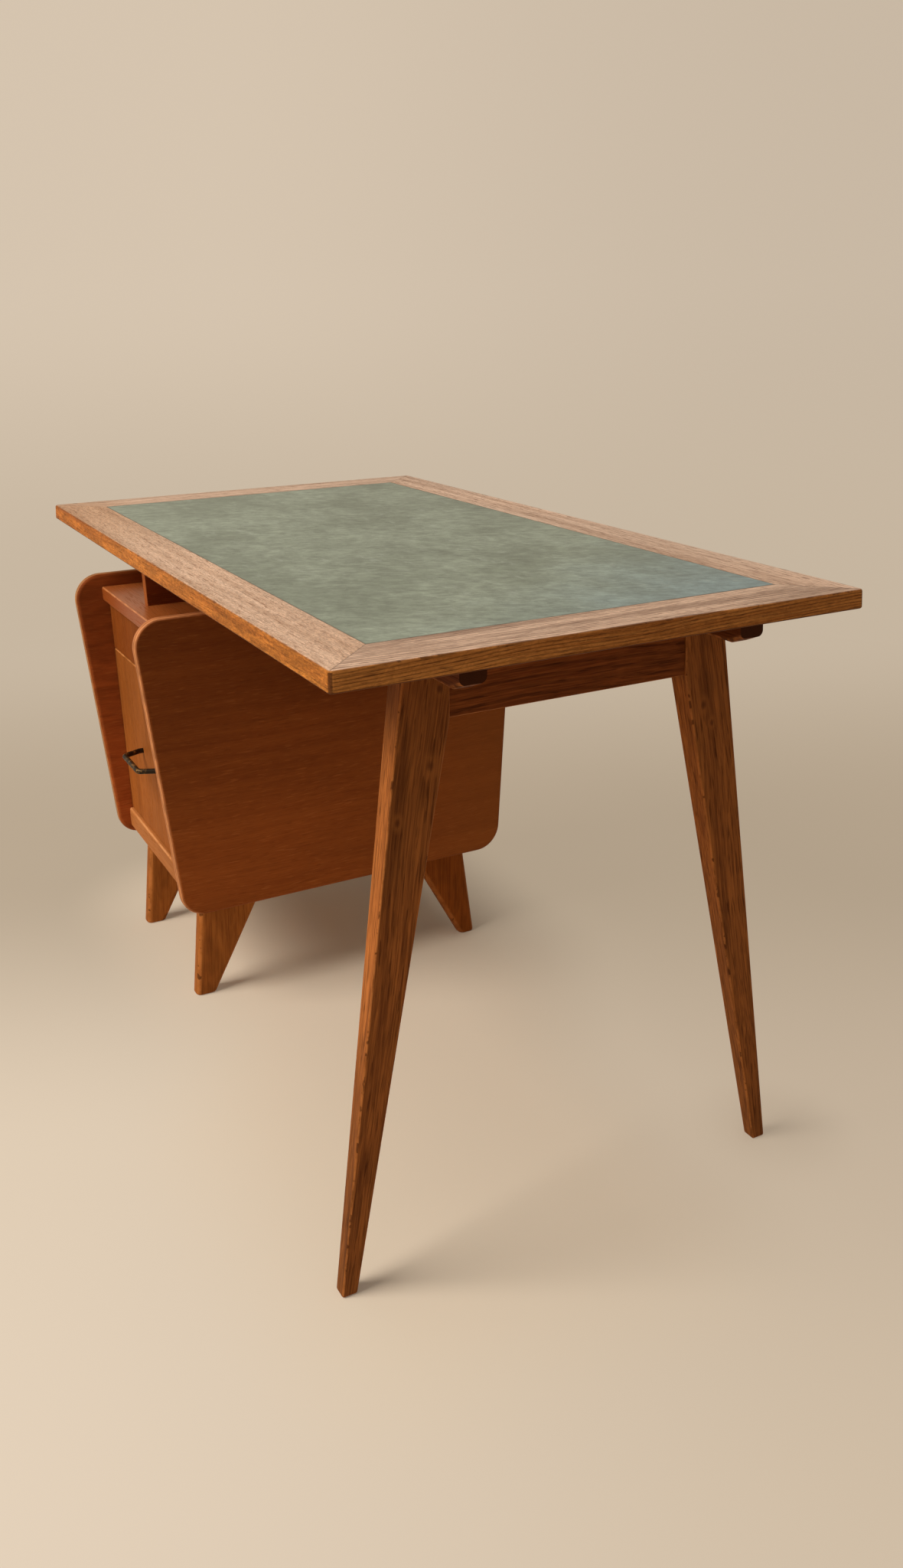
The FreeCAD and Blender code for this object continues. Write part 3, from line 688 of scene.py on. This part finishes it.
# painted shade: the lower drawer front lighter low down and darker higher up
lower_front_look = dict(front_look, painted_shade=dict(low=0.22, high=0.46, low_share=1.2, high_share=0.95))
shelf_look = dict(
    front_look,
    light=(168, 92, 40),
    dark=(146, 76, 30),
    rough=0.36,
    specular=0.5,
    paint=front_edge_paint((140, 68, 23)),
)
bottom_rail_look = dict(front_look, light=(176, 110, 58), dark=(154, 90, 43), worn=(212, 150, 98))
riser_look = dict(
    front_look,
    light=(116, 52, 19),
    dark=(94, 40, 14),
    worn=None,
    paint=front_edge_paint((160, 88, 42)),
)
front_foot_look = dict(
    frame_look,
    light=(164, 97, 42),
    dark=(138, 76, 31),
    rings=0.08,
    pores=0.2,
    figure=0.16,
)
# painted shade: the back feet in darker tones than the front feet
back_foot_painted_shade_look = dict(front_foot_look, light=(148, 78, 27), dark=(120, 59, 18))
dress(
    ("side_panel_inner", "inner_panel_veneer", "Y", 14.4, inner_panel_look),
    ("side_panel_outer", "outer_panel_veneer", "Y", 15.9, outer_panel_look),
    ("pedestal_back", "back_veneer", "X", 17.2, panel_look),
    ("upper_drawer_front", "upper_front_veneer", "Z", 18.4, upper_front_painted_shade_look),
    ("lower_drawer_front", "lower_front_veneer", "Z", 19.9, lower_front_look),
    ("shelf_board", "shelf_veneer", "X", 21.3, shelf_look),
    ("bottom_rail", "bottom_rail_wood", "X", 22.7, bottom_rail_look),
    ("riser_board", "riser_wood", "Y", 24.2, riser_look),
    ("foot_front_inner", "foot_front_inner_wood", "Z", 25.5, front_foot_look),
    ("foot_front_outer", "foot_front_outer_wood", "Z", 26.8, front_foot_look),
    ("foot_back_inner", "foot_back_inner_wood", "Z", 28.1, back_foot_painted_shade_look),
    ("foot_back_outer", "foot_back_outer_wood", "Z", 29.4, back_foot_painted_shade_look),
)

# Boards and dowels that only an opened drawer or a dismantled desk shows
ply_look = dict(
    light=(212, 172, 124),
    dark=(186, 144, 96),
    rings=0.15,
    pores=0.3,
    pore=(140, 98, 58),
    rough=0.6,
    specular=0.25,
    relief=0.12,
)
beech_look = dict(ply_look, light=(216, 170, 124), dark=(192, 142, 98), rings=0.05)
dress(
    ("top_core", "core_ply", "X", 31.0, ply_look),
    ("drawer_divider bottom_board", "carcass_ply", "X", 32.3, ply_look),
    ("upper_drawer_side_inner upper_drawer_side_outer", "upper_side_ply", "Y", 33.6, ply_look),
    ("lower_drawer_side_inner lower_drawer_side_outer", "lower_side_ply", "Y", 34.9, ply_look),
    ("upper_drawer_back lower_drawer_back", "drawer_back_ply", "X", 36.2, ply_look),
    ("upper_drawer_bottom lower_drawer_bottom", "drawer_bottom_ply", "X", 37.5, ply_look),
    ("mitre_splines", "spline_beech", "X", 38.8, beech_look),
    ("bearer_dowels", "bearer_dowel_beech", "Z", 40.1, beech_look),
    ("carcass_dowels", "carcass_dowel_beech", "X", 41.4, beech_look),
)


# Metal: specks to each patch, and how deep they are in metres
SPECKS_PER_PATCH = 14
METAL_RELIEF_DEPTH = 0.0003


def metal(name, base, bright, rough, waves):
    """Aged metal: a dark patina that is rubbed bright in patches."""
    s = Shader(name)
    p = s.coords()
    rub = s.noise(p, (waves,) * 3, detail=5.0, rough=0.65)
    speck = s.noise(p, (waves * SPECKS_PER_PATCH,) * 3, detail=2.0)
    share = s.between(s.plus(rub, s.times(speck, 0.15)), 0.56, 0.78)
    s.set(
        Base_Color=s.mix(share, rgb(*base), rgb(*bright)),
        Metallic=0.85,
        Roughness=s.between(speck, 0.2, 0.8, rough - 0.08, rough + 0.14),
        Normal=s.bump(speck, 0.15, METAL_RELIEF_DEPTH),
    )
    return s.material


bronze = metal("handle_bronze", base=(46, 36, 26), bright=(156, 118, 64), rough=0.40, waves=90.0)
steel = metal("screw_steel", base=(96, 92, 86), bright=(150, 146, 138), rough=0.45, waves=200.0)
assign("bow_handle", bronze)
assign("bearer_screws riser_screws foot_screws handle_screws", steel)

# Studio: the floor near the desk that only the lamps light, in metres
LIT_END = 0.54
LIT_BACK_X = (-0.1, 0.3)
LIT_BACK_Y = (0.2, 0.03)
LIT_FRONT_X = (-0.1, 0.2)
LIT_FRONT_Y = (0.13, 0.23)
LIT_BLEND = (0.0, 0.26)
LEG_SHADOW_PLACE = (0.487, 0.32, 0.0)
LEG_SHADOW_REACH = (0.0, 0.13)

# Studio: the ranges of its tones, away from the camera, to the right of it and up the wall, in metres
TONE_RIGHT = (-0.5, 0.6)
TONE_NEAR = (-0.9, -0.3)
TONE_FOOT = (-0.35, 0.5)
TONE_FAR = (0.7, 2.2)
TONE_WALL = (0.0, 1.2)
LEAN_BACK = (0.9, 3.5)
LEAN_WALL = (0.0, 1.0)
LEAN_MIDDLE = 0.33

# Studio: its glowing tones of painted light and shade, left and right of the camera where there are two,
# and its lamp-lit paint
MIDDLE_TONES = ((226, 207, 183), (201, 182, 159))
FRONT_TONES = ((231, 212, 189), (209, 190, 166))
# painted shade where floor and wall meet
FOOT_TONE = (183, 165, 142)
FAR_TONE = (202, 185, 163)
WALL_TONE = (214, 197, 176)
PAINT_TONES = ((216, 200, 178), (220, 204, 182))
PAINT_WAVES = (0.6, 0.6, 0.6)

# Studio: its shape, in metres, and its light
FLOOR_RADIUS = 2.6
FLOOR_RINGS = (0.0, 1.0, 2.0, FLOOR_RADIUS)
COVE_RADIUS = 1.4
COVE_STEPS = 16
WALL_HEIGHTS = (2.6, 4.4)
STUDIO_SIDES = 128
KEY_LAMP = dict(
    place=(-0.1, -3.6, 3.6), target=(0.0, 0.0, 0.4), size=2.8, power=250.0, colour=(1.0, 0.96, 0.91)
)
TOP_LAMP = dict(
    place=(0.0, 0.0, 4.0), target=(0.0, 0.0, 0.0), size=3.4, power=30.0, colour=(1.0, 0.97, 0.93)
)
WORLD_COLOUR = (1.0, 0.95, 0.87, 1.0)
WORLD_STRENGTH = 0.26


def studio_tone(s):
    """Glowing colour that the camera sees around the desk's shadow: painted light, paler to the left and
    up the wall, and painted shade where floor and wall meet.
    """
    p = s.coords()
    _, y, height = s.split(p)
    away = s.dot(p, LEVEL_AWAY)
    right = s.between(s.dot(p, LEVEL_RIGHT), *TONE_RIGHT)
    middle, front = (s.mix(right, rgb(*pair[0]), rgb(*pair[1])) for pair in (MIDDLE_TONES, FRONT_TONES))
    near = s.mix(s.between(away, *TONE_NEAR), front, middle)
    foot = s.mix(s.between(away, *TONE_FOOT), near, rgb(*FOOT_TONE))
    far = s.mix(s.between(away, *TONE_FAR), foot, rgb(*FAR_TONE))
    wall = s.mix(s.between(height, *TONE_WALL), far, rgb(*WALL_TONE))
    # painted light: the wall paler to the left, the more so higher up
    lean = s.minus(s.between(y, *LEAN_BACK), LEAN_MIDDLE)
    lean = s.plus(s.times(lean, s.between(height, *LEAN_WALL)), LEAN_MIDDLE)
    return s.shade(wall, lean, 1.02, 0.88)


def tone_share(s):
    """Share of the studio's glowing tone: small by the desk, where the floor keeps its shadow, large
    beyond, where the glow paints over that shadow.
    """
    x, y, _ = s.split(s.coords())
    past_end = s.minus(s.size(x), LIT_END)
    past_back = s.minus(y, s.between(x, *LIT_BACK_X, *LIT_BACK_Y))
    past_front = s.minus(s.times(y, -1.0), s.between(x, *LIT_FRONT_X, *LIT_FRONT_Y))
    past_side = s.larger(past_back, past_front)
    past = s.length(s.join(s.larger(past_end, 0.0), s.larger(past_side, 0.0), 0.0))
    from_leg = s.length(s.vmath("SUBTRACT", s.coords(), LEG_SHADOW_PLACE))
    leg_shadow = s.between(from_leg, *LEG_SHADOW_REACH, 0.55, 1.0)
    return s.times(s.between(past, *LIT_BLEND, 0.06, 0.9), leg_shadow)


def studio_paint(name):
    """Paint lit by the lamps, under a glowing tone of painted light and shade that only the camera,
    mirrors and glass see.
    """
    s = Shader(name)
    cloud = s.noise(s.coords(), PAINT_WAVES, detail=2.0)
    deep, pale = (rgb(*tone) for tone in PAINT_TONES)
    s.set(
        Base_Color=s.mix(s.between(cloud, 0.3, 0.7), deep, pale),
        Roughness=0.9,
        Specular_IOR_Level=0.1,
    )
    path = s.node("ShaderNodeLightPath").outputs
    seen = s.larger(path["Is Camera Ray"], path["Is Glossy Ray"])
    seen = s.larger(seen, path["Is Transmission Ray"])
    emit = s.node("ShaderNodeEmission", {"Color": studio_tone(s)}).outputs[0]
    share = s.times(seen, tone_share(s))
    both = s.node("ShaderNodeMixShader", {0: share, 1: s.surface.outputs[0], 2: emit}).outputs[0]
    s.feed(s.tree.nodes["Material Output"].inputs["Surface"], both)
    return s.material


def studio(name, profile):
    """Piece of the round studio, turned from a profile of (radius, height) points."""
    points, faces = [], []
    for radius, height in profile:
        for side in range(STUDIO_SIDES):
            turn = side / STUDIO_SIDES * 2 * math.pi
            points.append((radius * math.cos(turn), radius * math.sin(turn), height))
    for row in range(len(profile) - 1):
        low_row, high_row = row * STUDIO_SIDES, (row + 1) * STUDIO_SIDES
        for side in range(STUDIO_SIDES):
            after = (side + 1) % STUDIO_SIDES
            faces.append((low_row + side, low_row + after, high_row + after, high_row + side))
    mesh = bpy.data.meshes.new(name)
    mesh.from_pydata(points, [], faces)
    mesh.shade_smooth()
    mesh.materials.append(studio_paint(name + "_paint"))
    piece = bpy.data.objects.new(name, mesh)
    scene.collection.objects.link(piece)
    return piece


def cove(step):
    """A point of the quarter round between floor and wall."""
    turn = step / COVE_STEPS * math.pi / 2
    return (FLOOR_RADIUS + COVE_RADIUS * math.sin(turn), COVE_RADIUS * (1 - math.cos(turn)))


studio("studio_floor", [(radius, 0.0) for radius in FLOOR_RINGS])
upright = [(FLOOR_RADIUS + COVE_RADIUS, height) for height in WALL_HEIGHTS]
wall = studio("studio_wall", [cove(step) for step in range(COVE_STEPS + 1)] + upright)
wall.visible_shadow = False
wall.visible_diffuse = False


def area_light(name, place, target, size, power, colour):
    """Round lamp that the camera doesn't see."""
    data = bpy.data.lights.new(name, "AREA")
    data.shape = "DISK"
    data.size = size
    data.energy = power
    data.color = colour
    lamp = bpy.data.objects.new(name, data)
    lamp.location = place
    lamp.rotation_mode = "QUATERNION"
    lamp.rotation_quaternion = (Vector(target) - Vector(place)).to_track_quat("-Z", "Y")
    lamp.visible_camera = False
    scene.collection.objects.link(lamp)


area_light("key", **KEY_LAMP)
area_light("top", **TOP_LAMP)

world = bpy.data.worlds.new("studio")
scene.world = world
world.use_nodes = True
background = world.node_tree.nodes["Background"]
background.inputs["Color"].default_value = WORLD_COLOUR
background.inputs["Strength"].default_value = WORLD_STRENGTH


def photo_camera():
    """Camera at the photograph's place, with the picture plane shifted as its framing needs."""
    back = Vector(
        (
            math.sin(CAMERA_AZIMUTH) * math.cos(CAMERA_ELEVATION),
            -math.cos(CAMERA_AZIMUTH) * math.cos(CAMERA_ELEVATION),
            math.sin(CAMERA_ELEVATION),
        )
    )
    level_right = (-back).cross(Vector((0, 0, 1))).normalized()
    level_up = level_right.cross(-back)
    right = math.cos(CAMERA_ROLL) * level_right + math.sin(CAMERA_ROLL) * level_up
    up = math.cos(CAMERA_ROLL) * level_up - math.sin(CAMERA_ROLL) * level_right
    data = bpy.data.cameras.new("photo_camera")
    data.sensor_width = SENSOR_WIDTH
    data.lens = FOCAL_LENGTH / PHOTO_HEIGHT * SENSOR_WIDTH
    data.shift_x = (PHOTO_WIDTH / 2 - CENTRE_COLUMN) / PHOTO_HEIGHT
    data.shift_y = (CENTRE_ROW - PHOTO_HEIGHT / 2) / PHOTO_HEIGHT
    camera = bpy.data.objects.new("photo_camera", data)
    turned = Matrix((right, up, back)).transposed().to_4x4()
    camera.matrix_world = Matrix.Translation(CAMERA_PLACE) @ turned
    scene.collection.objects.link(camera)
    scene.camera = camera


photo_camera()
